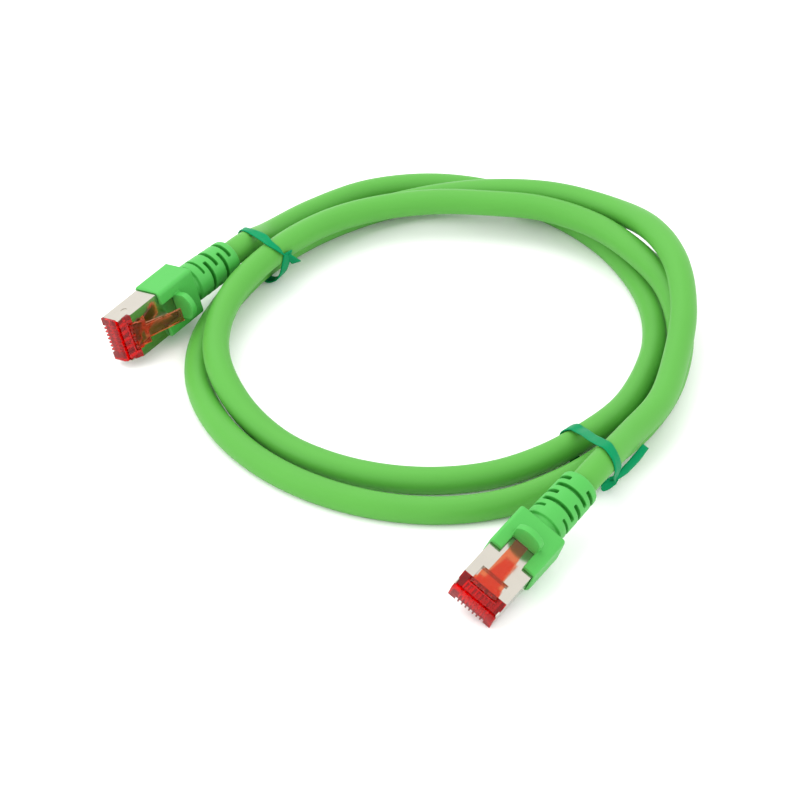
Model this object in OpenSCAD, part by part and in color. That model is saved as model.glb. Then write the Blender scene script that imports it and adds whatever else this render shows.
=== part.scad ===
// Coiled shielded patch cord with a moulded-boot modular plug on each end.
// World frame: X right, Y away, Z up, the floor at Z = 0, sizes in millimetres.
// Plug frame: nose tip at X = 0, cable leaving towards -X, contact side at Z = 0, latch side up.

/* [Cable] */
// Outer diameter of the cable jacket
jacket_d = 6.4; // [6.2:0.1:6.4]
// Diameter of one insulated conductor
wire_d = 0.94; // [0.9:0.01:0.94]
// Sides of the jacket's tube
tube_sides = 12; // [8:2:16]
// Rings between two stations of the coil
tube_steps = 2; // [1:1:2]

/* [Plug] */
// Width of the plug body
body_w = 11.68; // [11.5:0.02:11.8]
// Height of the plug body without its latch
body_h = 6.6; // [6.5:0.1:6.8]
// Length of the bare nose in front of the shield
nose_l = 3.6; // [3.4:0.1:3.8]
// Length of the contact carrier inside the shield, from the nose tip
carrier_l = 14; // [13.5:0.5:14.5]
// Pitch of the eight contacts
contact_pitch = 1.02; // [1:0.01:1.04]
// Thickness of a contact blade
blade_t = 0.34; // [0.3:0.02:0.36]
// Sheet thickness of the shield
sheet_t = 0.3; // [0.25:0.05:0.3]
// Distance from the nose tip to the shield's rear wall
shield_l = 19.3; // [19:0.1:19.5]

/* [Latch] */
// Rest angle of the latch arm above the plug body
latch_rest = 25; // [22:1:28]
// Length of the latch arm from its hinge
latch_l = 12.7; // [12:0.1:13]
// Thickness of the latch arm
latch_t = 0.8; // [0.7:0.05:0.9]
// Width of the finger end of the latch
latch_w = 3.25; // [3:0.05:3.4]
// Width across the two catch shoulders
catch_w = 6.2; // [6:0.05:6.3]

/* [Boot] */
// Distance from the nose tip to the front of the hood's side wings
hood_front = 12.8; // [12.5:0.1:13]
// Length of the hood behind the shield
hood_tail = 4.9; // [4.8:0.1:5.1]
// Width of the hood on the latch side
hood_top_w = 12.5; // [12.5:0.1:13]
// Width of the hood on the contact side
hood_low_w = 13.4; // [13.2:0.1:13.8]
// Width of the finger notch in the hood
notch_w = 6.1; // [5.9:0.1:6.4]
// Width of the raised collar behind the latch
collar_w = 6.8; // [6.6:0.1:7]
// Height of the collar above the plug body
collar_h = 6; // [5.6:0.1:6.2]
// Length of the strain relief behind the hood
relief_l = 15.6; // [15.2:0.1:15.8]
// Diameter of the strain relief at the hood
relief_d0 = 9.7; // [9.5:0.1:9.9]
// Diameter of the strain relief at the cable
relief_d1 = 9.3; // [9.1:0.1:9.4]
// Width of the strain relief's flex slots
slot_w = 1; // [0.8:0.05:1.1]
// Depth of the flex slots
slot_d = 1.2; // [0.9:0.05:1.3]

/* [Ties] */
// Width of a tie strip
tie_w = 3.6; // [3:0.2:4]
// Thickness of a tie strip
tie_t = 0.4; // [0.3:0.05:0.5]

/* [Plug A place] */
// Nose tip of plug A: X, Y and Z
a_at = [-55.8, 30.3, 6.9];
// Turn of plug A about X, Y and Z
a_turn = [-75, 3.5, -128];
// Sideways bend of plug A's strain relief
a_bend = 3.5; // [0:0.5:4]

/* [Plug B place] */
// Nose tip of plug B: X, Y and Z
b_at = [28.6, -57.6, 2.5];
// Turn of plug B about X, Y and Z
b_turn = [-23, 9.5, -128.7];
// Sideways bend of plug B's strain relief
b_bend = 0; // [0:0.5:2]

/* [Coil] */
// Centre of the coil: X and Y
coil_at = [22.8, 33.3];

/* [Hidden] */
$fn = 48;
EPS = 0.01;

// ---- sizes worked out from the ones above ----
fit = 0.05;                          // gap between parts that are assembled tightly
axis_z = body_h / 2;                 // height of the cable axis in the plug
crease_x = -0.6;                     // crease across the front of the nose
crease_z = body_h - 2.1;
crease_d = 0.45;                     // depth of the groove along the crease
step_z = 1.1;                        // height of the comb's open front
comb_gap = 0.66;                     // open width between two teeth of the comb
comb_l = 1.4;                        // length of the open comb
blade_slot = 0.5;                    // slot that a blade is pressed into
hinge_x = 0.4 - nose_l;              // living hinge of the latch
hinge_z = body_h - 0.5;
hinge_r = 0.5;
recess_w = catch_w + 0.9;            // clearance under the catch
recess_x = nose_l + 3.7;
root_w = recess_w - 0.2;             // the thick root of the latch
root_l = 1.4;
catch_l = 3.5;
tray_x = nose_l + 0.4;               // the sheet's pressed tray under the catch
tray_z = body_h - 0.9;
dimple_x = nose_l + 1.2;             // round dimple in each side wall of the shield
dimple_r = 0.8;
dimple_d = 0.15;
carrier_w = body_w - 2 * sheet_t - 2 * fit;
carrier_z0 = sheet_t + fit;
carrier_h = body_h - 2 * sheet_t - 2 * fit;
wire_r = wire_d / 2;
wire_sides = 10;
wire_tip = 4.2;                      // conductors end this far behind the nose tip
row_z = [2.75, 3.85];                // the two staggered rows of conductors
guide_l = 4.5;
guide_x = carrier_l - guide_l;
guide_w = 8 * contact_pitch + 1;
guide_h = 3;
pocket_w = guide_w + 2 * fit;
hood_rear = shield_l + hood_tail;
jacket_end = hood_rear;              // the jacket is stripped back to here
braid_r = 2.8;
braid_t = 0.35;
braid_front = shield_l + 0.5;
tail_r = braid_r + fit;              // bore of the shield's crimp tail
tail_t = 0.25;
tail_l = jacket_end - 0.6 - shield_l;
foil_r = 1;
foil_t = 0.045;
foil_front = shield_l - 1.5;
pair_at = foil_r * sqrt(2) + 0.01;   // the four foiled pairs lie round the cable axis
boot_bore = jacket_d + 0.1;
cavity_r = tail_r + tail_t + 0.45;
hood_z0 = -0.6;
hood_z1 = body_h + 1.2;
hood_round = 1;                      // radius of the hood's long and upright edges
collar_x = 17.2;
collar_t = 1.5;
collar_dome = 1.12;                  // radius of the dome, as a share of half the width
cheek_z = body_h - 1.3;              // top of the shield's side walls beside the nose
mouth = hood_rear + relief_l;        // the boot's mouth, where the cable comes out
// flex slots on the narrow and on the wide sides: place, half arc, width, depth
side_slots = [[3.9, 58, slot_w * 0.7, slot_d / 2], [8.5, 60, slot_w, slot_d], [13.2, 60, slot_w, slot_d]];
wide_slots = [[6.1, 62, slot_w, slot_d], [10.9, 62, slot_w, slot_d]];

// ---- extrusion helpers in the plug frame ----
// A YZ outline extruded from x0 back to x1
module across(x0, x1) {
    translate([-x1, 0, 0])
        rotate([90, 0, 90])
            linear_extrude(x1 - x0)
                children();
}

// An XZ outline extruded over the width w, centred
module wide(w) {
    rotate([90, 0, 0])
        linear_extrude(w, center = true)
            children();
}

// A block from x0 back to x1, w wide, between heights z0 and z1
module block(x0, x1, w, z0, z1) {
    translate([-x1, -w / 2, z0])
        cube([x1 - x0, w, z1 - z0]);
}

// A rod along the cable axis direction
module rod(x0, x1, r, y = 0, z = axis_z) {
    translate([-x1, y, z])
        rotate([0, 90, 0])
            cylinder(h = x1 - x0, r = r);
}

// A pipe along the cable axis
module pipe(x0, x1, r_out, r_in) {
    difference() {
        rod(x0, x1, r_out);
        rod(x0 - 1, x1 + 1, r_in);
    }
}

module place_a() {
    translate(a_at)
        rotate(a_turn)
            children();
}

module place_b() {
    translate(b_at)
        rotate(b_turn)
            children();
}

// Sideways place and height of conductor i, 0 to 7
function pin_y(i) = (i - 3.5) * contact_pitch;
function pin_z(i) = row_z[i % 2];

// Side view of the bare nose: a lip, a groove along its crease and a sloping brow
module nose_side() {
    polygon([
        [0, 0], [0, crease_z - 1], [crease_x + 0.15, crease_z - 0.2],
        [crease_x - crease_d, crease_z - 0.25], [crease_x - 0.35, crease_z + 0.25],
        [-nose_l, body_h], [-nose_l, 0]
    ]);
}

// ---- the clear nose that carries the contacts ----
module nose() {
    color([0.85, 0.12, 0.14, 0.8])
        difference() {
            union() {
                wide(body_w - 2 * sheet_t - 2 * fit)
                    nose_side();
                intersection() {
                    wide(body_w)
                        nose_side();
                    union() {
                        block(-1, -crease_x, body_w + 1, -1, body_h);
                        block(0, nose_l, body_w + 1, cheek_z + fit, body_h + 1);
                    }
                }
                block(nose_l - EPS, carrier_l, carrier_w, carrier_z0, carrier_z0 + carrier_h);
            }
            for (i = [0 : 7]) {
                translate([0, pin_y(i), 0])
                    block(-1, comb_l, comb_gap, -1, step_z);
                translate([0, pin_y(i), 0])
                    block(comb_l - EPS, 8, blade_slot, -1, pin_z(i));
                rod(wire_tip - 0.1, carrier_l + 1, wire_r + fit, pin_y(i), pin_z(i));
            }
            block(guide_x - fit, carrier_l + 1, pocket_w, axis_z - guide_h / 2 - fit,
                axis_z + guide_h / 2 + fit);
            block(-hinge_x - hinge_r - 0.15, recess_x + sheet_t + fit, recess_w + 2 * (sheet_t + fit),
                tray_z - sheet_t - fit, body_h + 1);
        }
}

// ---- the latch, on its hinge line ----
module latch() {
    color([0.92, 0.3, 0.16, 0.85])
        translate([hinge_x, 0, hinge_z])
            rotate([0, latch_rest, 0])
                union() {
                    rotate([90, 0, 0])
                        cylinder(h = root_w, r = hinge_r, center = true);
                    block(-hinge_r / 2, root_l, root_w, -latch_t / 2, latch_t / 2 + 0.15);
                    block(0, catch_l, catch_w, -latch_t / 2, latch_t / 2);
                    block(0, latch_l, latch_w, -latch_t / 2, latch_t / 2);
                    translate([0, 0, -latch_t / 2])
                        linear_extrude(latch_t / 2)
                            polygon([
                                [0, 2.2], [-9.6, 1.7], [-9.6, -1.7], [0, -2.2]
                            ]);
                }
}

// ---- eight gold blades that pierce the conductors ----
module contacts() {
    color([0.85, 0.68, 0.3])
        for (i = [0 : 7])
            translate([0, pin_y(i), 0])
                wide(blade_t)
                    let (top = pin_z(i) - wire_r - 0.02)
                        polygon([
                            [-1.7, 0.7], [-2.1, 0.4], [-7.4, 0.4], [-7.7, 0.7], [-7.7, top],
                            [-7.1, top - 0.5], [-6.5, top], [-5.9, top - 0.5], [-5.3, top],
                            [-4.7, top - 0.5], [-3.4, top - 0.5], [-1.7, 1.5]
                        ]);
}

// ---- the load bar that keeps the conductors in two rows ----
module wire_guide() {
    color([0.9, 0.92, 0.94])
        difference() {
            block(guide_x, carrier_l, guide_w, axis_z - guide_h / 2, axis_z + guide_h / 2);
            for (i = [0 : 7])
                rod(guide_x - 1, carrier_l + 1, wire_r + 0.03, pin_y(i), pin_z(i));
        }
}

// ---- the stamped shield with its crimp tail ----
module shield() {
    color([0.88, 0.87, 0.83])
        union() {
            difference() {
                block(nose_l, shield_l, body_w, 0, body_h);
                block(nose_l - 1, shield_l - sheet_t, body_w - 2 * sheet_t, sheet_t, body_h - sheet_t);
                rod(shield_l - 1, shield_l + 1, braid_r - braid_t);
                block(nose_l - 1, 8.3, 8 * contact_pitch + 0.6, -1, sheet_t + EPS);
                block(nose_l - 1, recess_x, recess_w, body_h - sheet_t - EPS, body_h + 1);
                for (side = [-1, 1])
                    translate([-dimple_x, side * body_w / 2, axis_z])
                        rotate([90, 0, 0])
                            cylinder(h = 2 * dimple_d, r = dimple_r, center = true);
            }
            tray();
            for (side = [-1, 1])
                translate([0, side * (body_w - sheet_t) / 2, 0])
                    block(fit - crease_x, nose_l + EPS, sheet_t, 0, cheek_z);
            pipe(shield_l - EPS, shield_l + tail_l, tail_r + tail_t, tail_r);
        }
}

// The tray pressed into the sheet, which leaves room for the catch: a floor and three walls
module tray() {
    back = recess_x + sheet_t;
    z = tray_z - sheet_t;
    block(tray_x, back, recess_w + 2 * sheet_t, z, tray_z);
    block(recess_x, back, recess_w + 2 * sheet_t, z, body_h - EPS);
    for (side = [-1, 1])
        translate([0, side * (recess_w + sheet_t) / 2, 0])
            block(nose_l, back, sheet_t, z, body_h - EPS);
}

// ---- the ring crimped round the tail and the braid ----
module crimp_ring() {
    color([0.75, 0.74, 0.7])
        pipe(shield_l + 0.5, shield_l + tail_l - 0.3, tail_r + tail_t + 0.35, tail_r + tail_t);
}

// ---- the bared end of the cable's braid ----
module braid_end() {
    color([0.72, 0.7, 0.68])
        pipe(braid_front, jacket_end, braid_r, braid_r - braid_t);
}

// Centre of foiled pair k, 0 to 3, round the cable axis
function pair_c(k) = [
    pair_at * cos(90 * k),
    axis_z + pair_at * sin(90 * k)
];

// ---- the foil round each of the four pairs ----
module pair_foils() {
    color([0.8, 0.82, 0.84])
        for (k = [0 : 3])
            difference() {
                rod(foil_front, jacket_end, foil_r, pair_c(k).x, pair_c(k).y);
                rod(foil_front - 1, jacket_end + 1, foil_r - foil_t, pair_c(k).x, pair_c(k).y);
            }
}

// Direction of a path at its point i, the mean of the runs on either side
function unit(v) = v / norm(v);
function heading(path, i) =
    let (last = len(path) - 1)
    i == 0 ? unit(path[1] - path[0])
    : i == last ? unit(path[last] - path[last - 1])
    : unit(unit(path[i + 1] - path[i]) + unit(path[i] - path[i - 1]));

// The n corners of a tube of radius r round point i of a path, kept above a floor
function ring(path, i, r, n, floor_z) =
    let (
        fwd = heading(path, i),
        side = unit(cross(fwd, [0, 0, 1])),
        up = cross(side, fwd)
    )
    [for (k = [0 : n - 1])
        let (p = path[i] + r * (cos(360 * k / n) * side + sin(360 * k / n) * up))
        [p.x, p.y, max(p.z, floor_z)]
    ];

// A tube of radius r and n sides swept along a path
module sweep(path, r, n, floor_z = -body_w) {
    last = len(path) - 1;
    walls = [
        for (i = [0 : last - 1])
            for (k = [0 : n - 1])
                each [
                    [i * n + k, i * n + (k + 1) % n, (i + 1) * n + k],
                    [i * n + (k + 1) % n, (i + 1) * n + (k + 1) % n, (i + 1) * n + k]
                ]
    ];
    ends = [
        [for (k = [n - 1 : -1 : 0]) k],
        [for (k = [0 : n - 1]) last * n + k]
    ];
    polyhedron(
        [for (i = [0 : last]) each ring(path, i, r, n, floor_z)],
        concat(walls, ends)
    );
}

// One conductor: from the cut jacket, side s of pair k, spread to pin i and led to its row
module conductor(i, k, s) {
    off = s * (wire_r + 0.01);
    back = [-jacket_end, pair_c(k).x + (k % 2) * off, pair_c(k).y + (1 - k % 2) * off];
    leave = [0.3 - foil_front, back.y, back.z];
    spread = [leave.x + 1.5, pin_y(i), back.z];
    join = [-carrier_l - 0.5, pin_y(i), pin_z(i)];
    tip = [-wire_tip - fit, join.y, join.z];
    sweep([back, leave, spread, join, tip], wire_r - 0.02, wire_sides);
}

// One colour pair: pins i and j, pair place k
module pair(i, j, k, shade) {
    color(shade)
        union() {
            conductor(i, k, -1);
            conductor(j, k, 1);
        }
}

module pair_orange() { pair(0, 1, 2, [0.95, 0.55, 0.15]); }
module pair_green() { pair(2, 5, 1, [0.2, 0.65, 0.3]); }
module pair_blue() { pair(3, 4, 3, [0.2, 0.35, 0.8]); }
module pair_brown() { pair(6, 7, 0, [0.5, 0.3, 0.18]); }

// A curved flex slot on the side at angle a: x behind the hood, h half its arc, w wide, d deep
module flex_slot(a, x, h, w, d) {
    translate([-hood_rear - x - w / 2, 0, axis_z])
        rotate([0, 90, 0])
            rotate([0, 0, a - h])
                rotate_extrude(angle = 2 * h)
                    translate([relief_d1 / 2 - d, 0])
                        square([3, w]);
}

// Swings what follows the hood sideways by the bend
module bent(bend) {
    translate([-hood_rear, 0, 0])
        rotate([0, 0, -bend])
            translate([hood_rear, 0, 0])
                children();
}

// ---- the moulded boot: hood, collar and strain relief ----
module boot(bend) {
    color([0.36, 0.85, 0.38])
        union() {
            difference() {
                union() {
                    hood_solid();
                    translate([0, 0, body_h])
                        across(collar_x, collar_x + collar_t)
                            collar_face();
                }
                block(hood_front - 1, shield_l + 0.1, body_w + 2 * fit, -fit, body_h + fit);
                block(hood_front - 1, collar_x, notch_w, axis_z, hood_z1 + 9);
                rod(shield_l, hood_rear + 1, cavity_r);
            }
            bent(bend)
                relief();
        }
}

// The hood: the end view of its walls, cut to its plan with rounded corners
module hood_solid() {
    intersection() {
        across(hood_front, hood_rear)
            offset(r = hood_round, $fn = 24)
                offset(delta = -hood_round)
                    polygon([
                        [-hood_low_w / 2, hood_z0], [hood_low_w / 2, hood_z0],
                        [hood_top_w / 2, hood_z1], [-hood_top_w / 2, hood_z1]
                    ]);
        translate([0, 0, hood_z0 - 1])
            linear_extrude(body_h + 4)
                offset(r = hood_round, $fn = 24)
                    offset(delta = -hood_round)
                        polygon([
                            [-hood_front, hood_low_w / 2], [-hood_rear, hood_low_w / 2],
                            [-hood_rear, -hood_low_w / 2], [-hood_front, -hood_low_w / 2]
                        ]);
    }
}

// Front view of the collar: straight sides under a domed top
module collar_face() {
    r = collar_w / 2;
    translate([-r, 0])
        square([collar_w, collar_h - r]);
    intersection() {
        translate([0, collar_h - collar_dome * r])
            circle(r = collar_dome * r);
        translate([-r, 0])
            square([collar_w, collar_h]);
    }
}

// The strain relief: a neck groove at the hood, then a taper with flex slots and a round rear edge
module relief() {
    r0 = relief_d0 / 2;
    r1 = relief_d1 / 2;
    difference() {
        translate([-hood_rear, 0, axis_z])
            rotate([0, -90, 0])
                rotate_extrude()
                    polygon([
                        [boot_bore / 2, -0.3], [r0 - 0.7, -0.3], [r0 - 0.7, 1.2], [r0, 1.5],
                        [r0, 5], [r1, relief_l - 0.7], [r1 - 0.2, relief_l - 0.2],
                        [r1 - 0.7, relief_l], [boot_bore / 2, relief_l]
                    ]);
        for (a = [90, 270])
            for (s = side_slots)
                flex_slot(a, s[0], s[1], s[2], s[3]);
        for (a = [0, 180])
            for (s = wide_slots)
                flex_slot(a, s[0], s[1], s[2], s[3]);
    }
}

// ---- the cable: three passes round the coil from plug A to plug B ----
// A point of the plug frame, in the world
function turn_x(v, a) = [v.x, v.y * cos(a) - v.z * sin(a), v.y * sin(a) + v.z * cos(a)];
function turn_y(v, a) = [v.x * cos(a) + v.z * sin(a), v.y, v.z * cos(a) - v.x * sin(a)];
function turn_z(v, a) = [v.x * cos(a) - v.y * sin(a), v.x * sin(a) + v.y * cos(a), v.z];
function on_plug(v, at, t) = at + turn_z(turn_y(turn_x(v, t.x), t.y), t.z);
function axis_point(x, at, t, bend) =
    on_plug(turn_z([hood_rear - x, 0, axis_z], -bend) - [hood_rear, 0, 0], at, t);
function a_point(x) = axis_point(x, a_at, a_turn, a_bend);
function b_point(x) = axis_point(x, b_at, b_turn, b_bend);

// Stations of the coil, every 15 degrees clockwise from the left: radius and centreline height.
// The first pass starts outermost, dives under the others at the far right and ends innermost;
// the second rides up on it; the third lies low at the left, crosses to the outside and on top.
stations = [
    [60, 6.2], [61.9, 3.8], [63.6, 3], [65, 2.6], [63.8, 2.6], [61.5, 2.6],
    [59, 2.6], [56.5, 2.6], [54.5, 2.6], [52.4, 2.6], [50.3, 2.6], [49.4, 3.2],
    [48.7, 3.9], [48.6, 3.8], [49, 2.8], [49.5, 2.6], [50, 2.6], [50.6, 2.6],
    [51.4, 2.8], [52.6, 4.8], [53.4, 7.8],
    [52.4, 8.4], [50.6, 9.2], [48.6, 9.9], [48.5, 9.5], [49.3, 8.9], [50, 8.4],
    [49.8, 9], [50.4, 9.4], [53.2, 9.7], [55.6, 9.5], [56.5, 9.5], [58, 8.7],
    [58.3, 6.3], [57.3, 3.9], [56.6, 3.6], [56.8, 3.9], [57.6, 3.8], [58.6, 2.8],
    [59.2, 2.6], [59.4, 2.6], [59.5, 2.6], [59.5, 2.6], [59.3, 2.6], [58.4, 2.6],
    [56.6, 2.6], [54.2, 2.8], [52.6, 3.6], [52.4, 3.8], [53.9, 3.3], [56, 3.4],
    [57.6, 4.9], [57.4, 8.2], [60.3, 9.5], [63.1, 10.2], [61.6, 14.3], [60, 15.5],
    [58.6, 13.4], [57.8, 11], [59.2, 10.2], [61, 11.2]
];
first_angle = 135;
station_step = 15;
turn = 360 / station_step;           // stations in one turn of the coil
coil_r = 70;                         // more than the coil's outer radius
tie_gap = 0.35;                      // slack between a tie and the cable
left_angle = 142.5;
right_angle = -52.5;
straight = jacket_d;                 // the cable leaves each boot straight for this far
function station(i) = [
    coil_at.x + stations[i][0] * cos(first_angle - station_step * i),
    coil_at.y + stations[i][0] * sin(first_angle - station_step * i),
    stations[i][1]
];

route = concat(
    [a_point(mouth + straight)],
    [for (i = [0 : len(stations) - 1]) station(i)],
    [b_point(mouth + straight)]
);
before = a_point(mouth);
after = b_point(mouth);

// Centripetal spline between p1 and p2 at u, 0 to 1
function knot(p, q) = sqrt(norm(q - p));
function blend(p0, p1, p2, p3, u) =
    let (
        k1 = knot(p0, p1),
        k2 = knot(p1, p2),
        k3 = knot(p2, p3),
        m1 = (p2 - p1) + k2 * ((p1 - p0) / k1 - (p2 - p0) / (k1 + k2)),
        m2 = (p2 - p1) + k2 * ((p3 - p2) / k3 - (p3 - p1) / (k2 + k3))
    )
    (2 * u * u * u - 3 * u * u + 1) * p1 + (u * u * u - 2 * u * u + u) * m1
        + (3 * u * u - 2 * u * u * u) * p2 + (u * u * u - u * u) * m2;
function route_at(i) = i < 0 ? before : i >= len(route) ? after : route[i];
function inner_points() = [
    for (i = [0 : len(route) - 2])
        for (s = [0 : tube_steps - 1])
            blend(route_at(i - 1), route_at(i), route_at(i + 1), route_at(i + 2), s / tube_steps)
];
// The cut end of the jacket, square to the plug it sits in
function stub(at, t) = [
    for (x = [jacket_end, jacket_end + 0.4])
        on_plug([-x, 0, axis_z], at, t)
];
stub_a = stub(a_at, a_turn);
stub_b = stub(b_at, b_turn);
centre = concat(
    stub_a, [before],
    inner_points(),
    [route[len(route) - 1], after, stub_b[1], stub_b[0]]
);

module cable_jacket() {
    color([0.42, 0.74, 0.34])
        sweep(centre, jacket_d / 2, tube_sides, 0);
}

// ---- the ties: a closed band round the three passes, with a loose end ----
// The cable's place as seen at a tie: distance from the coil's centre, height
function seen(p) = [norm([p.x - coil_at.x, p.y - coil_at.y]), p.z];
function between(i, u) = blend(route_at(i - 1), route_at(i), route_at(i + 1), route_at(i + 2), u);

// Outline round the given cable places, no lower than the floor given
module wrap(places, gap, floor_z) {
    intersection() {
        offset(r = gap)
            hull()
                for (p = places)
                    translate(p)
                        circle(d = jacket_d);
        translate([0, floor_z])
            square([2 * coil_r, coil_r]);
    }
}

module tie(angle, places, end_at, end_l) {
    color([0.18, 0.7, 0.45])
        translate([coil_at.x, coil_at.y, 0])
            rotate([0, 0, angle])
                union() {
                    rotate([90, 0, 0])
                        linear_extrude(tie_w, center = true)
                            difference() {
                                wrap(places, tie_gap + tie_t, 0.05);
                                wrap(places, tie_gap, 0.05 + tie_t);
                            }
                    translate([end_at.x, min(0, end_l), end_at.y])
                        cube([tie_t, abs(end_l), tie_w]);
                }
}

left_end_l = 6;                      // length of each tie's loose end
right_end_l = 10;
tie_reach = 0.14;                    // half a tie's width, as a share of a station's step
function both_edges(i, u) = [seen(between(i, u - tie_reach)), seen(between(i, u + tie_reach))];
left_station = 0;
right_station = 13;
left_places = concat(
    both_edges(left_station, 0.4),
    both_edges(left_station + turn, 0.5),
    both_edges(left_station + 2 * turn, 0.5)
);
right_places = concat(
    both_edges(right_station, 0.5),
    both_edges(right_station + turn, 0.5),
    both_edges(right_station + 2 * turn, 0.55)
);
module tie_left() {
    tie(left_angle, left_places,
        [left_places[2].x - tie_gap - tie_t - jacket_d / 2, left_places[0].y], -left_end_l);
}
module tie_right() {
    tie(right_angle, right_places,
        [right_places[2].x + tie_gap + jacket_d / 2, tie_t + 0.2], right_end_l);
}

// Least distance between centrelines of different passes, and the cable's length
function length_to(i) = i == 0 ? 0 : length_to(i - 1) + norm(centre[i] - centre[i - 1]);
function seg_gap(p, a, b) =
    let (t = max(0, min(1, (p - a) * (b - a) / ((b - a) * (b - a)))))
    norm(p - a - t * (b - a));
gaps = [
    for (i = [0 : len(centre) - 1])
        for (j = [i + 8 * tube_steps : 1 : len(centre) - 2])
            seg_gap(centre[i], centre[j], centre[j + 1])
];
echo(least_gap = min(gaps) - jacket_d, length = length_to(len(centre) - 1));

place_a() nose();  // nose_a
place_a() latch();  // latch_a
place_a() contacts();  // contacts_a
place_a() wire_guide();  // wire_guide_a
place_a() shield();  // shield_a
place_a() crimp_ring();  // crimp_ring_a
place_a() braid_end();  // braid_end_a
place_a() pair_foils();  // pair_foils_a
place_a() pair_orange();  // pair_orange_a
place_a() pair_green();  // pair_green_a
place_a() pair_blue();  // pair_blue_a
place_a() pair_brown();  // pair_brown_a
place_a() boot(a_bend);  // boot_a
place_b() nose();  // nose_b
place_b() latch();  // latch_b
place_b() contacts();  // contacts_b
place_b() wire_guide();  // wire_guide_b
place_b() shield();  // shield_b
place_b() crimp_ring();  // crimp_ring_b
place_b() braid_end();  // braid_end_b
place_b() pair_foils();  // pair_foils_b
place_b() pair_orange();  // pair_orange_b
place_b() pair_green();  // pair_green_b
place_b() pair_blue();  // pair_blue_b
place_b() pair_brown();  // pair_brown_b
place_b() boot(b_bend);  // boot_b
cable_jacket();
tie_left();
tie_right();
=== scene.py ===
"""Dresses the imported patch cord: jacket, ties, boots, plugs and the wiring inside."""

import math

import bmesh
import bpy
from bpy.props import FloatProperty, FloatVectorProperty, PointerProperty
from mathutils import Euler, Matrix, Vector


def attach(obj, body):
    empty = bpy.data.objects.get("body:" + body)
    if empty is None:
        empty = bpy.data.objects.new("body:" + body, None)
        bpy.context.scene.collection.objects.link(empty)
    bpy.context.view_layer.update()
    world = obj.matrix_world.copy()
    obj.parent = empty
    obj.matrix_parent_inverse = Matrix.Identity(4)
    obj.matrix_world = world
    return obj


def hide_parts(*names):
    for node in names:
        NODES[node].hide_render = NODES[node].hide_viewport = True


bl_info = {
    "name": "Patch cord dresser",
    "version": (1, 0, 0),
    "blender": (4, 5, 0),
    "location": "View3D > Sidebar > Patch cord",
    "description": "Builds the detailed pieces of a coiled patch cord round its frame",
    "category": "Object",
}

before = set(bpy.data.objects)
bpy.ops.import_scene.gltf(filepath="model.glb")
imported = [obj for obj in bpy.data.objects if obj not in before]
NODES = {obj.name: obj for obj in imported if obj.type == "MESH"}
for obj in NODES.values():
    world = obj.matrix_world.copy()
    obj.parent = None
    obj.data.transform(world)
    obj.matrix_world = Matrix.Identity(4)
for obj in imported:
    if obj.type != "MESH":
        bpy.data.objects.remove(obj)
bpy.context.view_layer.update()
MM = 0.001
CORD_BODY = "cord"

# ---- the plugs and the coil, in millimetres and degrees, as in the construction ----
# Each plug's nose tip, its turns about X, Y and Z, and the sideways bend of its strain relief
PLUGS = {
    "a": {"at": (-55.8, 30.3, 6.9), "turn": (-75, 3.5, -128), "bend": 3.5},
    "b": {"at": (28.6, -57.6, 2.5), "turn": (-23, 9.5, -128.7), "bend": 0},
}
BODY_H = 6.6
AXIS_Z = BODY_H / 2
HOOD_REAR = 24.2
BOOT_MOUTH = 39.8
JACKET_END = HOOD_REAR
COIL_AT = (22.8, 33.3)
FIRST_ANGLE = 135
STATION_STEP = 15
# The cable's distance from the coil's centre and its height, at each step clockwise
STATIONS = (
    (59.4, 4.6), (61.8, 3.4), (64.9, 2.9), (65.8, 2.6), (64.2, 2.6), (61.6, 2.6),
    (59, 2.6), (56.5, 2.6), (54.5, 2.6), (52.4, 2.6), (50.3, 2.6), (49.4, 3.2),
    (48.7, 3.9), (48.7, 3.6), (48.7, 2.8), (49, 2.6), (49.6, 2.6), (50.4, 2.6),
    (51.4, 2.8), (52.6, 4.8), (53.4, 7.8),
    (52.4, 8.4), (50.6, 9.2), (48.6, 9.9), (48.5, 9.5), (49.3, 8.9), (50, 8.4),
    (49.8, 9), (50.4, 9.4), (53.2, 9.7), (55.6, 9.5), (56.5, 9.5), (58, 8.7),
    (58.3, 6.3), (57.3, 3.9), (56.6, 3.6), (56.8, 3.9), (57.6, 3.6), (58.6, 2.8),
    (59.1, 2.6), (59.1, 2.6), (59, 2.6), (59, 2.6), (58.9, 2.6), (58.3, 2.6),
    (56.6, 2.6), (54.2, 2.8), (52.6, 3.6), (52.4, 3.8), (53.9, 3.3), (56, 3.4),
    (57.6, 4.9), (57.4, 8.2), (60.3, 9.5), (63.1, 10.2), (61.6, 14.3), (60, 15.5),
    (58.6, 13.4), (57.8, 11), (59.2, 10.2), (61, 11.2),
)

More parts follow.
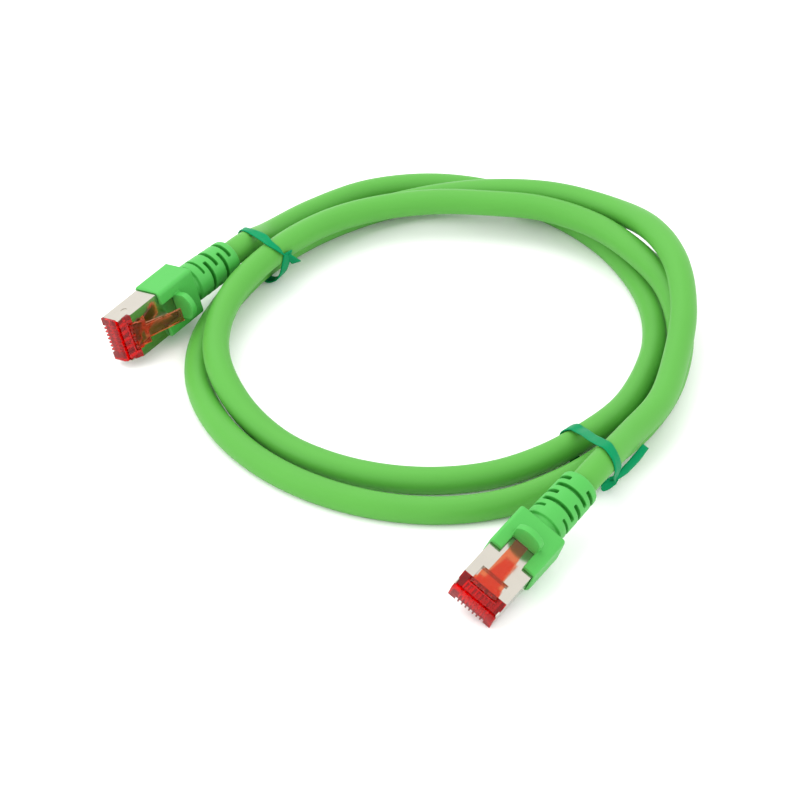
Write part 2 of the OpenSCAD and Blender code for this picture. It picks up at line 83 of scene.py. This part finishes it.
# ---- the ties ----
# Each angle is where a tie crosses the coil, in degrees, and each tie is made of strips.
# A strip's point has its place (distance from the coil's centre, along the cable, height), the
# direction of the strip's width, the share of the width and the depth of a fold.
LEFT_TIE = 142.5
RIGHT_TIE = -52.5
ALONG = (0, 1, 0)
EDGE_ON_LEFT = (0.47, 0.6, -0.64)
EDGE_ON_RIGHT = (0.5, 0.5, 0.7)
LEFT_RUNS = (
    (
        ((44.8, -3.1, 11.2), EDGE_ON_LEFT, 0.5),
        ((45.8, -3.8, 12.6), (0.3, 0.9, -0.1), 0.52),
        ((48.4, -4.1, 13.5), (0, 1, 0), 0.68, 0.2),
        ((51.4, -3, 13.3), (0, 1, 0.1), 0.85, 0.35),
        ((54.4, -2.2, 12.7), (0, 1, -0.1), 0.88, 0.2),
        ((57.3, -1.7, 12.1), (0.2, 1, -0.35), 0.82),
        ((59.7, -1.1, 10.9), (0.2, 1, -0.3), 0.65),
        ((61.1, -0.4, 8.2), (0.3, 1, -0.2)),
        ((60.3, 0, 5.2), (0.3, 1, -0.2)),
        ((57.9, -0.2, 2.9), ALONG),
        ((55, -0.8, 0.8), ALONG),
        ((52.3, -1.8, 0.3), ALONG),
        ((50, -2.4, 0.5), ALONG),
        ((47.5, -2.3, 2.2), (0.1, 1, 0)),
        ((46.1, -2, 4.6), ALONG),
        ((45.2, -2, 7.6), (-0.1, 1, 0)),
        ((44.5, -1.8, 11.2), (-0.1, 1, 0)),
    ),
    (
        ((44.6, -1.8, 10.5), (-0.5, 0.1, 0.8), 0.35),
        ((44.3, -0.8, 8.8), (-0.6, 0.1, 0.8), 0.7),
        ((43.7, 0.3, 7.2), (-0.6, 0, 0.8)),
    ),
)
RIGHT_RUNS = (
    (
        ((65.7, 0.4, 6.2), EDGE_ON_RIGHT, 0.6),
        ((66.9, 1.4, 9), (0.3, 1, 0.1), 0.8),
        ((68.2, 2.4, 12.2), (0.4, 1, 0.2)),
        ((67.7, 3, 15.4), (0.4, 1, 0.2)),
        ((65.2, 2.9, 16.6), (0.3, 1, 0.2)),
        ((61.4, 2.1, 15.1), ALONG, 0.95),
        ((57.4, 0.8, 12.9), ALONG, 0.85),
        ((53.4, -0.8, 10.7), ALONG, 0.85),
        ((49.8, -2.2, 8.5), (0, 1, 0.1)),
        ((47.4, -2.6, 7.5), (0.1, 1, 0), 1.05),
        ((45.1, -2.1, 5.2), (0.1, 1, 0), 1.05),
        ((45.3, -1.8, 2), ALONG),
        ((48.4, -1.4, 0.4), ALONG),
        ((52.5, -0.8, 0.3), ALONG),
        ((57.1, -0.4, 0.4), ALONG),
        ((60.4, -0.1, 1.2), (0, 1, 0.3)),
        ((63.4, 0.1, 3.4), (0, 1, 0.5), 0.9),
        ((65.4, 0.3, 5.6), EDGE_ON_RIGHT, 0.7),
        ((65.8, 0.4, 6.8), EDGE_ON_RIGHT, 0.5),
    ),
    (
        ((65.8, 0.4, 6.4), (-0.3, 0, 1), 0.4),
        ((65.4, -2.6, 7), (-0.3, 0, 1), 0.8, 0.4),
        ((64.9, -6, 8.1), (-0.3, 0, 1), 0.85, 0.5),
        ((64.8, -9, 10.3), (-0.3, 0, 1), 0.7, 0.4),
    ),
    (
        ((65.6, 0.3, 6.2), (-0.2, 0, 1), 0.5),
        ((64.8, 0.8, 4.9), (-0.2, 0, 1), 0.85),
        ((64.4, 1.9, 4), (-0.2, 0, 1), 0.9),
        ((64.3, 2.8, 4), (-0.2, 0, 1), 0.8),
        ((64.3, 3.3, 4.1), (-0.2, 0, 1), 0.45),
    ),
)
# A strip's section, as shares of its width and thickness: a flat tape with a bead along each edge
STRIP_SECTION = (
    (-0.5, 0), (-0.47, 0.5), (-0.3, 0.62), (0, 0.5), (0.3, 0.62), (0.47, 0.5),
    (0.5, 0), (0.47, -0.5), (0.3, -0.62), (0, -0.5), (-0.3, -0.62), (-0.47, -0.5),
)

# ---- meshes ----
JACKET_SIDES = 32
JACKET_STEPS = 10                    # spans between two stations of the coil
STRIP_STEPS = 8                      # spans between two points of a strip
WELD_DISTANCE = 0.002 * MM
EDGE_ANGLE = math.radians(35)        # sharper corners than this are rounded
EDGE_SEGMENTS = 3
# Width of each node's rounded edges, in millimetres
EDGE_WIDTHS = {
    "nose": 0.12, "latch": 0.06, "shield": 0.1, "contacts": 0.03,
    "wire_guide": 0.05, "crimp_ring": 0.05, "braid_end": 0.02, "pair_foils": 0,
}
BOOT_SMOOTHING = 0.5
BOOT_SMOOTHING_ROUNDS = 5

# ---- stage ----
VIEW_CENTRE = Vector((13.9, 15.8, 0)) * MM
CLIP = (0.05, 10)
FLOOR_HALF = 6
FLOOR_DROP = 0.02 * MM
SOFTBOX = {"place": (-0.3, 0.3, 0.9), "size": 0.9}
FILL = {"place": (-0.9, -0.3, 0.6), "size": 0.6}

# ---- looks ----
BUMP_DEPTH = 0.03 * MM
# Painted shade: ambient occlusion over this reach darkens the boots' colour in their slots and
# gaps
SLOT_SHADE_REACH = 1.5 * MM
SLOT_SHADE_RANGE = (0.2, 0.9)           # openness at which the painted slot shade is darkest and gone
SLOT_SHADE_SAMPLES = 8
# What a clear plastic lets through, and its density
NOSE_DEPTH = ((0.94, 0.1, 0.12), 700)
LATCH_DEPTH = ((0.99, 0.45, 0), 2000)
TIN = (190, 188, 182)
FOIL = (214, 216, 218)
GUIDE = (232, 236, 238)
WIRES = {
    "orange": (242, 142, 40), "green": (48, 160, 76),
    "blue": (48, 92, 200), "brown": (128, 82, 48),
}


def srgb(*rgb):
    """Linear colour of a display colour given from 0 to 255."""
    return tuple(
        v / 12.92 if v <= 0.04045 else ((v + 0.055) / 1.055) ** 2.4
        for v in (c / 255 for c in rgb)
    )


def colour_prop(name, description, rgb):
    """A colour setting, its default given from 0 to 255."""
    return FloatVectorProperty(
        name=name, description=description, default=srgb(*rgb),
        size=3, min=0, max=1, subtype="COLOR",
    )


def length_prop(name, description, mm):
    """A length setting, its default given in millimetres."""
    return FloatProperty(
        name=name, description=description, default=mm * MM, unit="LENGTH", precision=5,
    )


class CordSettings(bpy.types.PropertyGroup):
    diameter: length_prop("Jacket diameter", "Outer diameter of the cable jacket", 6.4)
    jacket: colour_prop("Jacket colour", "Colour of the extruded jacket", (82, 156, 60))
    tie_width: length_prop("Tie width", "Width of a twist strip", 2.9)
    tie_thickness: length_prop("Tie thickness", "Thickness of a twist strip", 0.32)
    tie: colour_prop("Tie colour", "Colour of the twist strips", (10, 131, 82))


class PlugSettings(bpy.types.PropertyGroup):
    boot: colour_prop("Boot colour", "Colour of the moulded boots", (70, 166, 70))
    # Painted shade: the darker green mixed into the boots in slots and gaps, where ambient
    # occlusion finds them hemmed in
    slot_shade_colour: colour_prop("Slot colour", "Colour inside the boots' slots", (34, 134, 34))
    boot_grain: length_prop("Boot mesh grain", "Voxel size of the moulded boot", 0.13)
    nose: colour_prop("Nose tint", "Tint of the clear nose", (236, 8, 5))
    latch: colour_prop("Latch tint", "Tint of the clear latch", (255, 200, 180))
    shield: colour_prop("Shield colour", "Colour of the plated shield", (187, 182, 172))
    gold: colour_prop("Contact colour", "Colour of the gilded contacts", (222, 178, 92))


class StageSettings(bpy.types.PropertyGroup):
    floor: colour_prop("Floor colour", "Colour of the plain floor", (250, 250, 250))
    lens: FloatProperty(
        name="Lens", description="Focal length of the camera", default=122.7, unit="CAMERA",
    )
    distance: length_prop("Camera distance", "From the camera to the middle of the view", 644)
    sky: FloatProperty(name="Room light", description="Strength of the soft room", default=1.52)
    softbox: FloatProperty(name="Softbox", description="Power of the top softbox", default=3.0)
    fill: FloatProperty(name="Left fill", description="Power of the left fill light", default=2.0)
    elevation: FloatProperty(
        name="Elevation", description="Height of the camera above the horizon",
        default=math.radians(40), subtype="ANGLE",
    )


# ---- places ----
def plug_matrix(key):
    """Places a point given in a plug's own millimetres, in metres."""
    plug = PLUGS[key]
    turn = Euler([math.radians(v) for v in plug["turn"]], "XYZ").to_matrix().to_4x4()
    return Matrix.Scale(MM, 4) @ Matrix.Translation(plug["at"]) @ turn


def axis_point(key, x):
    """A point of a plug's cable axis, x behind the nose tip, in millimetres."""
    bend = Matrix.Rotation(-math.radians(PLUGS[key]["bend"]), 4, "Z")
    local = bend @ Vector((HOOD_REAR - x, 0, AXIS_Z)) - Vector((HOOD_REAR, 0, 0))
    return plug_matrix(key) @ local / MM


def station(i):
    """A point of the coil, in millimetres."""
    angle = math.radians(FIRST_ANGLE - STATION_STEP * i)
    radius, height = STATIONS[i]
    return Vector((
        COIL_AT[0] + radius * math.cos(angle), COIL_AT[1] + radius * math.sin(angle), height,
    ))


def blend(p0, p1, p2, p3, u):
    """Centripetal spline between p1 and p2 at u, 0 to 1."""
    k1, k2, k3 = (math.sqrt((b - a).length) for a, b in ((p0, p1), (p1, p2), (p2, p3)))
    m1 = (p2 - p1) + k2 * ((p1 - p0) / k1 - (p2 - p0) / (k1 + k2))
    m2 = (p2 - p1) + k2 * ((p3 - p2) / k3 - (p3 - p1) / (k2 + k3))
    return (
        (2 * u ** 3 - 3 * u * u + 1) * p1 + (u ** 3 - 2 * u * u + u) * m1
        + (3 * u * u - 2 * u ** 3) * p2 + (u ** 3 - u * u) * m2
    )


def smooth_line(points, steps):
    """The points with steps spans between each two of them, on a centripetal spline."""
    ends = [2 * points[0] - points[1], *points, 2 * points[-1] - points[-2]]
    line = [
        blend(*ends[i:i + 4], s / steps) for i in range(len(points) - 1) for s in range(steps)
    ]
    return line + [points[-1]]


def cable_line(diameter, steps):
    """The cable's centreline from the stripped end in plug A to the one in plug B, in metres."""
    straight = diameter / MM
    points = [axis_point("a", BOOT_MOUTH), axis_point("a", BOOT_MOUTH + straight)]
    points += [station(i) for i in range(len(STATIONS))]
    points += [axis_point("b", BOOT_MOUTH + straight), axis_point("b", BOOT_MOUTH)]
    line = [axis_point("a", JACKET_END), *smooth_line(points, steps), axis_point("b", JACKET_END)]
    return [p * MM for p in line]


def tie_frame(angle):
    """Places (distance from the coil's centre, along the cable, height) in mm, in metres."""
    a = math.radians(angle)
    out, along = Vector((math.cos(a), math.sin(a), 0)), Vector((math.sin(a), -math.cos(a), 0))
    matrix = Matrix((out, along, (0, 0, 1))).transposed().to_4x4()
    matrix.translation = Vector((*COIL_AT, 0))
    return Matrix.Scale(MM, 4) @ matrix


# ---- mesh helpers ----
def new_piece(name, bm, material, smooth=True):
    """A mesh object from a bmesh, in metres in the object's frame."""
    mesh = bpy.data.meshes.new(name)
    bmesh.ops.recalc_face_normals(bm, faces=bm.faces)
    bm.to_mesh(mesh)
    bm.free()
    mesh.polygons.foreach_set("use_smooth", [smooth] * len(mesh.polygons))
    piece = bpy.data.objects.new(name, mesh)
    bpy.context.scene.collection.objects.link(piece)
    mesh.materials.append(material)
    return piece


def heading(line, i):
    """Direction of a line at its point i, the mean of the spans on either side."""
    last = len(line) - 1
    if i == 0:
        return (line[1] - line[0]).normalized()
    if i == last:
        return (line[last] - line[last - 1]).normalized()
    ahead, behind = line[i + 1] - line[i], line[i] - line[i - 1]
    return (ahead.normalized() + behind.normalized()).normalized()


def tube_piece(name, line, radius, sides, floor_z, material):
    """A closed round tube along a line, kept above the floor, with lengthwise UVs."""
    bm = bmesh.new()
    uv = bm.loops.layers.uv.new("along")
    rings, runs = [], []
    for i, point in enumerate(line):
        runs.append(runs[-1] + (point - line[i - 1]).length if i else 0.0)
        fwd = heading(line, i)
        side = fwd.cross(Vector((0, 0, 1))).normalized()
        up = side.cross(fwd)
        ring = []
        for k in range(sides):
            a = 2 * math.pi * k / sides
            p = point + radius * (math.cos(a) * side + math.sin(a) * up)
            ring.append(bm.verts.new((p.x, p.y, max(p.z, floor_z))))
        rings.append(ring)
    for i in range(len(rings) - 1):
        for k in range(sides):
            n = (k + 1) % sides
            face = bm.faces.new((rings[i][k], rings[i][n], rings[i + 1][n], rings[i + 1][k]))
            around = ((k, i), (k + 1, i), (k + 1, i + 1), (k, i + 1))
            for loop, (kk, ii) in zip(face.loops, around):
                loop[uv].uv = (kk / sides, runs[ii] / (2 * math.pi * radius))
    bm.faces.new(rings[0][::-1])
    bm.faces.new(rings[-1])
    return new_piece(name, bm, material)


def strip_piece(name, points, width, thickness, material):
    """A flat soft strip: each point has a place, a width direction, a width share and a fold."""
    places = smooth_line([p[0] for p in points], STRIP_STEPS)
    across = [p[1].normalized() for p in points]
    shares = [p[2] if len(p) > 2 else 1.0 for p in points]
    folds = [p[3] if len(p) > 3 else 0.0 for p in points]
    bm = bmesh.new()
    rings = []
    for i, place in enumerate(places):
        low = min(i // STRIP_STEPS, len(points) - 2)
        rest = i / STRIP_STEPS - low
        share = shares[low] + (shares[low + 1] - shares[low]) * rest
        fold = MM * (folds[low] + (folds[low + 1] - folds[low]) * rest)
        fwd = heading(places, i)
        side = across[low].lerp(across[low + 1], rest)
        side = (side - side.dot(fwd) * fwd).normalized()
        up = fwd.cross(side)
        rings.append([
            bm.verts.new(
                place + width * share * s * side
                + (thickness * t + fold * (1 - 2 * abs(s))) * up
            )
            for s, t in STRIP_SECTION
        ])
    n = len(STRIP_SECTION)
    for a, b in zip(rings, rings[1:]):
        for k in range(n):
            bm.faces.new((a[k], a[(k + 1) % n], b[(k + 1) % n], b[k]))
    bm.faces.new(rings[0][::-1])
    bm.faces.new(rings[-1])
    return new_piece(name, bm, material)


def node_copy(node, name, material):
    """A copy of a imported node's mesh, its doubled corners joined."""
    bm = bmesh.new()
    bm.from_mesh(NODES[node].data)
    bmesh.ops.remove_doubles(bm, verts=bm.verts, dist=WELD_DISTANCE)
    return new_piece(name, bm, material)


def round_over(node, width):
    """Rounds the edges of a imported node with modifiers, so that its mesh stays as it is."""
    obj = NODES[node]
    weld = obj.modifiers.new("weld", "WELD")
    weld.merge_threshold = WELD_DISTANCE
    bevel = obj.modifiers.new("edges", "BEVEL")
    bevel.width = width
    bevel.segments = EDGE_SEGMENTS
    bevel.limit_method = "ANGLE"
    bevel.angle_limit = EDGE_ANGLE
    obj.data.polygons.foreach_set("use_smooth", [True] * len(obj.data.polygons))
    obj.modifiers.new("shade", "WEIGHTED_NORMAL").keep_sharp = True
    return obj


# ---- materials ----
def calculation(group, operation, first, second):
    """A math node's result, from a socket and a socket or number."""
    node = group.nodes.new("ShaderNodeMath")
    node.operation = operation
    group.links.new(first, node.inputs[0])
    if isinstance(second, (int, float)):
        node.inputs[1].default_value = second
    else:
        group.links.new(second, node.inputs[1])
    return node.outputs[0]


def grain_group():
    """Mottled colour and a fine moulded surface, for any of the plastics."""
    name = "Moulded grain"
    if name in bpy.data.node_groups:
        return bpy.data.node_groups[name]
    group = bpy.data.node_groups.new(name, "ShaderNodeTree")
    face = group.interface
    for label, kind, value in (
        ("Colour", "NodeSocketColor", (0.5, 0.5, 0.5, 1)),
        ("Mottle", "NodeSocketFloat", 0.06),
        ("Mottle scale", "NodeSocketFloat", 90.0),
        ("Grain scale", "NodeSocketFloat", 2500.0),
        ("Grain", "NodeSocketFloat", 0.2),
        ("Roughness", "NodeSocketFloat", 0.45),
    ):
        face.new_socket(label, in_out="INPUT", socket_type=kind).default_value = value
    for label, kind in (
        ("Colour", "NodeSocketColor"), ("Roughness", "NodeSocketFloat"),
        ("Normal", "NodeSocketVector"),
    ):
        face.new_socket(label, in_out="OUTPUT", socket_type=kind)
    n, link = group.nodes, group.links.new
    given, out = n.new("NodeGroupInput"), n.new("NodeGroupOutput")
    place = n.new("ShaderNodeTexCoord")
    mottle = n.new("ShaderNodeTexNoise")
    mottle.inputs["Detail"].default_value = 4
    link(place.outputs["Object"], mottle.inputs["Vector"])
    link(given.outputs["Mottle scale"], mottle.inputs["Scale"])
    centred = calculation(group, "SUBTRACT", mottle.outputs["Fac"], 0.5)
    swing = calculation(group, "MULTIPLY", centred, given.outputs["Mottle"])
    shade = n.new("ShaderNodeVectorMath")
    shade.operation = "SCALE"
    link(given.outputs["Colour"], shade.inputs[0])
    link(calculation(group, "ADD", swing, 1), shade.inputs["Scale"])
    link(shade.outputs["Vector"], out.inputs["Colour"])
    link(calculation(group, "ADD", given.outputs["Roughness"], swing), out.inputs["Roughness"])
    grain = n.new("ShaderNodeTexNoise")
    grain.inputs["Detail"].default_value = 3
    link(place.outputs["Object"], grain.inputs["Vector"])
    link(given.outputs["Grain scale"], grain.inputs["Scale"])
    bump = n.new("ShaderNodeBump")
    bump.inputs["Distance"].default_value = BUMP_DEPTH
    link(given.outputs["Grain"], bump.inputs["Strength"])
    link(grain.outputs["Fac"], bump.inputs["Height"])
    link(bump.outputs["Normal"], out.inputs["Normal"])
    return group


def paint_slot_shade(tree, colour, slot_shade_colour):
    """A colour socket turned towards a painted shade colour wherever ambient occlusion finds the
    surface hemmed in, as in slots and gaps.
    """
    # Painted shade from ambient occlusion, not a colour of the plastic itself
    openness = tree.nodes.new("ShaderNodeAmbientOcclusion")
    openness.samples = SLOT_SHADE_SAMPLES
    openness.only_local = True
    openness.inputs["Distance"].default_value = SLOT_SHADE_REACH
    share = tree.nodes.new("ShaderNodeMapRange")
    share.inputs["From Min"].default_value = SLOT_SHADE_RANGE[0]
    share.inputs["From Max"].default_value = SLOT_SHADE_RANGE[1]
    tree.links.new(openness.outputs["AO"], share.inputs["Value"])
    mix = tree.nodes.new("ShaderNodeMix")
    mix.data_type = "RGBA"
    mix.inputs["A"].default_value = (*slot_shade_colour, 1)
    tree.links.new(colour, mix.inputs["B"])
    tree.links.new(share.outputs["Result"], mix.inputs["Factor"])
    return mix.outputs["Result"]


def plastic(name, colour, roughness=0.45, mottle=0.08, grain=0.2, grain_scale=2500.0,
            mottle_scale=90.0, absorb=None, slot_shade_colour=None, **constants):
    """A plastic or plated metal: the grain group's colour, roughness and normal, with constants.

    Absorb gives a clear plastic's depth colour and density, and the slot colour the painted shade
    put where the surface is hemmed in.
    """
    material = bpy.data.materials.new(name)
    material.use_nodes = True
    tree = material.node_tree
    shader = tree.nodes["Principled BSDF"]
    group = tree.nodes.new("ShaderNodeGroup")
    group.node_tree = grain_group()
    values = {
        "Colour": (*colour, 1), "Mottle": mottle, "Mottle scale": mottle_scale,
        "Grain scale": grain_scale, "Grain": grain, "Roughness": roughness,
    }
    for key, value in values.items():
        group.inputs[key].default_value = value
    colour_out = group.outputs["Colour"]
    # Painted shade in slots and gaps, where the surface is hemmed in
    if slot_shade_colour is not None:
        colour_out = paint_slot_shade(tree, colour_out, slot_shade_colour)
    tree.links.new(colour_out, shader.inputs["Base Color"])
    if absorb:
        fog = tree.nodes.new("ShaderNodeVolumeAbsorption")
        fog.inputs["Color"].default_value = (*absorb[0], 1)
        fog.inputs["Density"].default_value = absorb[1]
        tree.links.new(fog.outputs["Volume"], tree.nodes["Material Output"].inputs["Volume"])
    tree.links.new(group.outputs["Roughness"], shader.inputs["Roughness"])
    tree.links.new(group.outputs["Normal"], shader.inputs["Normal"])
    for key, value in constants.items():
        shader.inputs[key.replace("_", " ")].default_value = value
    material.diffuse_color = (*colour, 1)
    return material


def finish_node(node, material, width):
    """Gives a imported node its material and, where the width isn't 0, rounded edges."""
    obj = round_over(node, width * MM) if width else NODES[node]
    obj.data.materials.clear()
    obj.data.materials.append(material)


# ---- operators ----
class PATCHCORD_OT_stage(bpy.types.Operator):
    """Makes the camera, the plain floor and the soft studio light"""
    bl_idname = "patchcord.stage"
    bl_label = "Stage"

    def execute(self, context):
        s = context.scene.patchcord_stage
        camera = bpy.data.cameras.new("camera")
        camera.lens = s.lens
        camera.clip_start, camera.clip_end = CLIP
        seat = bpy.data.objects.new("camera", camera)
        e = s.elevation
        seat.location = VIEW_CENTRE + s.distance * Vector((0, -math.cos(e), math.sin(e)))
        seat.rotation_euler = (math.pi / 2 - e, 0, 0)
        context.scene.collection.objects.link(seat)
        context.scene.camera = seat

        bm = bmesh.new()
        bmesh.ops.create_grid(bm, x_segments=1, y_segments=1, size=FLOOR_HALF)
        floor = new_piece("floor", bm, plastic(
            "plain floor", s.floor, roughness=0.9, mottle=0.0, grain=0.0, Specular_IOR_Level=0.1,
        ), smooth=False)
        floor.location.z = -FLOOR_DROP

        world = bpy.data.worlds.new("soft room")
        world.use_nodes = True
        sky = world.node_tree.nodes["Background"]
        sky.inputs["Color"].default_value = (1, 1, 1, 1)
        sky.inputs["Strength"].default_value = s.sky
        context.scene.world = world
        for name, lamp_at, power in (
            ("top softbox", SOFTBOX, s.softbox), ("left fill", FILL, s.fill),
        ):
            light = bpy.data.lights.new(name, "AREA")
            light.size = lamp_at["size"]
            light.energy = power
            lamp = bpy.data.objects.new(name, light)
            lamp.location = lamp_at["place"]
            to_centre = VIEW_CENTRE - lamp.location
            lamp.rotation_euler = to_centre.to_track_quat("-Z", "Y").to_euler()
            context.scene.collection.objects.link(lamp)
        context.scene.view_settings.view_transform = "Standard"
        return {"FINISHED"}


class PATCHCORD_OT_cable(bpy.types.Operator):
    """Makes the jacket as one smooth tube along the coil"""
    bl_idname = "patchcord.cable"
    bl_label = "Cable"

    def execute(self, context):
        s = context.scene.patchcord_cord
        line = cable_line(s.diameter, JACKET_STEPS)
        look = plastic(
            "jacket plastic", s.jacket, roughness=0.46, mottle=0.1, mottle_scale=60, grain=0.25,
            grain_scale=1800, Specular_IOR_Level=0.22,
        )
        jacket = tube_piece("jacket", line, s.diameter / 2, JACKET_SIDES, 0, look)
        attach(jacket, CORD_BODY)
        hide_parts("cable_jacket")
        length = sum((b - a).length for a, b in zip(line, line[1:]))
        context.scene["cable_length"] = length
        context.scene["cable_line"] = [list(p) for p in line]
        return {"FINISHED"}


class PATCHCORD_OT_ties(bpy.types.Operator):
    """Makes the two twisted strips that hold the coil"""
    bl_idname = "patchcord.ties"
    bl_label = "Ties"

    def execute(self, context):
        s = context.scene.patchcord_cord
        look = plastic(
            "tie plastic", s.tie, roughness=0.4, mottle=0.12, mottle_scale=260, grain=0.3,
            grain_scale=1500, Specular_IOR_Level=0.03,
        )
        for name, node, angle, runs in (
            ("tie_strip_left", "tie_left", LEFT_TIE, LEFT_RUNS),
            ("tie_strip_right", "tie_right", RIGHT_TIE, RIGHT_RUNS),
        ):
            place = tie_frame(angle)
            turn = place.to_3x3() * (1 / MM)
            for number, run in enumerate(runs):
                points = [
                    (place @ Vector(at), turn @ Vector(across), *shares)
                    for at, across, *shares in run
                ]
                piece = strip_piece(
                    name if number == 0 else f"{name}_end_{number}",
                    points, s.tie_width, s.tie_thickness, look,
                )
                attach(piece, CORD_BODY)
                if number == 0:
                    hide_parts(node)
        return {"FINISHED"}


class PATCHCORD_OT_boots(bpy.types.Operator):
    """Makes the soft moulded boots with their rounded edges"""
    bl_idname = "patchcord.boots"
    bl_label = "Boots"

    def execute(self, context):
        s = context.scene.patchcord_plug
        # The boot plastic gets painted shade in its slots and gaps, from ambient occlusion
        look = plastic(
            "boot plastic", s.boot, roughness=0.48, mottle=0.08, mottle_scale=120, grain=0.3,
            grain_scale=2200, slot_shade_colour=s.slot_shade_colour, Specular_IOR_Level=0.3,
        )
        for key in PLUGS:
            boot = node_copy(f"boot_{key}", f"boot_shell_{key}", look)
            remesh = boot.modifiers.new("mould", "REMESH")
            remesh.mode = "VOXEL"
            remesh.voxel_size = s.boot_grain
            remesh.use_smooth_shade = True
            relax = boot.modifiers.new("soft edges", "SMOOTH")
            relax.factor = BOOT_SMOOTHING
            relax.iterations = BOOT_SMOOTHING_ROUNDS
            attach(boot, CORD_BODY)
            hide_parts(f"boot_{key}")
        return {"FINISHED"}


class PATCHCORD_OT_plugs(bpy.types.Operator):
    """Finishes the shields, noses, latches and contacts of both plugs"""
    bl_idname = "patchcord.plugs"
    bl_label = "Plugs"

    def execute(self, context):
        s = context.scene.patchcord_plug
        nose = plastic(
            "clear red", s.nose, roughness=0.1, mottle=0.05, grain=0.1, grain_scale=900,
            absorb=NOSE_DEPTH, Transmission_Weight=0.85, IOR=1.33,
        )
        latch = plastic(
            "clear orange", s.latch, roughness=0.08, mottle=0.03, grain=0.05, grain_scale=900,
            absorb=LATCH_DEPTH, Transmission_Weight=0.98, IOR=1.27,
        )
        shield = plastic(
            "bright plating", s.shield, roughness=0.16, mottle=0.06, mottle_scale=300, grain=0.06,
            grain_scale=1600, Metallic=1.0,
        )
        gold = plastic(
            "gold plating", s.gold, roughness=0.22, mottle=0.08, grain=0.05, Metallic=1.0,
        )
        tin = plastic(
            "tinned metal", srgb(*TIN), roughness=0.38, mottle=0.2, mottle_scale=900,
            grain=0.5, grain_scale=4000, Metallic=1.0,
        )
        foil = plastic(
            "foil", srgb(*FOIL), roughness=0.3, mottle=0.2, mottle_scale=1200, grain=0.8,
            grain_scale=1500, Metallic=1.0,
        )
        guide = plastic(
            "natural clear", srgb(*GUIDE), roughness=0.2, mottle=0.04, grain=0.1,
            Transmission_Weight=0.6,
        )
        for key in PLUGS:
            for node, look in (
                ("nose", nose), ("latch", latch), ("shield", shield), ("contacts", gold),
                ("wire_guide", guide), ("crimp_ring", tin), ("braid_end", tin),
                ("pair_foils", foil),
            ):
                finish_node(f"{node}_{key}", look, EDGE_WIDTHS[node])
            for shade, rgb in WIRES.items():
                look = plastic(
                    f"{shade} insulation {key}", srgb(*rgb), roughness=0.4, mottle=0.1,
                    mottle_scale=800, grain=0.1,
                )
                finish_node(f"pair_{shade}_{key}", look, 0)
        return {"FINISHED"}


class PATCHCORD_PT_panel(bpy.types.Panel):
    """Lists the cord's sizes and its makers"""
    bl_idname = "PATCHCORD_PT_panel"
    bl_label = "Patch cord"
    bl_space_type = "VIEW_3D"
    bl_region_type = "UI"
    bl_category = "Patch cord"

    def draw(self, context):
        for group in (context.scene.patchcord_cord, context.scene.patchcord_plug,
                      context.scene.patchcord_stage):
            box = self.layout.box()
            for name in group.__annotations__:
                box.prop(group, name)
        for operator in OPERATORS:
            self.layout.operator(operator.bl_idname)


OPERATORS = (
    PATCHCORD_OT_stage, PATCHCORD_OT_cable, PATCHCORD_OT_ties, PATCHCORD_OT_boots,
    PATCHCORD_OT_plugs,
)
CLASSES = (CordSettings, PlugSettings, StageSettings, *OPERATORS, PATCHCORD_PT_panel)


def register():
    for cls in CLASSES:
        bpy.utils.register_class(cls)
    bpy.types.Scene.patchcord_cord = PointerProperty(type=CordSettings)
    bpy.types.Scene.patchcord_plug = PointerProperty(type=PlugSettings)
    bpy.types.Scene.patchcord_stage = PointerProperty(type=StageSettings)


def unregister():
    del bpy.types.Scene.patchcord_stage
    del bpy.types.Scene.patchcord_plug
    del bpy.types.Scene.patchcord_cord
    for cls in reversed(CLASSES):
        bpy.utils.unregister_class(cls)


def main():
    register()
    bpy.ops.patchcord.stage()
    bpy.ops.patchcord.cable()
    bpy.ops.patchcord.ties()
    bpy.ops.patchcord.boots()
    bpy.ops.patchcord.plugs()


if __name__ == "__main__":
    main()
